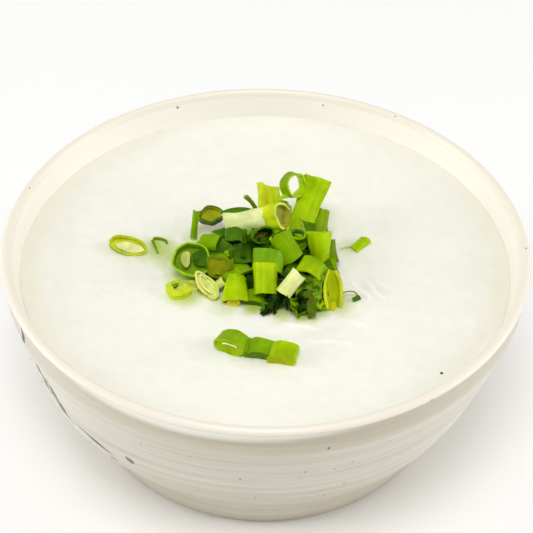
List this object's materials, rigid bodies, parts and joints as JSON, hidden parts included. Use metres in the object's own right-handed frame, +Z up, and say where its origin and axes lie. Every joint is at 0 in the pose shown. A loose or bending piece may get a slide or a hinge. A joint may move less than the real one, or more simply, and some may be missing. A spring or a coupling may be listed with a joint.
{
  "type": "congee bowl",
  "caption": "Round glazed stoneware bowl with a rolled lip and a foot ring, filled with plain rice congee and topped with cut spring onion.",
  "frame": {"origin": "on the table, at the middle of the foot ring", "axes": "+Z up out of the bowl; +Y away from the diner, so the joined onion rings lie at -Y; +X to the diner's right"},
  "size_m": [0.1526, 0.1492, 0.0744],
  "materials": {
    "glaze": "satin cream glaze with iron specks",
    "congee": "wet, soft, slightly lumpy",
    "green": "wet leaf",
    "yellow_green": "wet leaf",
    "dark_green": "wet leaf"
  },
  "bodies": {
    "root": {"bowl": "glaze", "congee": "congee", "spring_onion_heap": "green", "loose_ring": "yellow_green", "loose_curl": "dark_green", "loose_bit": "yellow_green", "joined_rings": "green"}
  },
  "joints": []
}
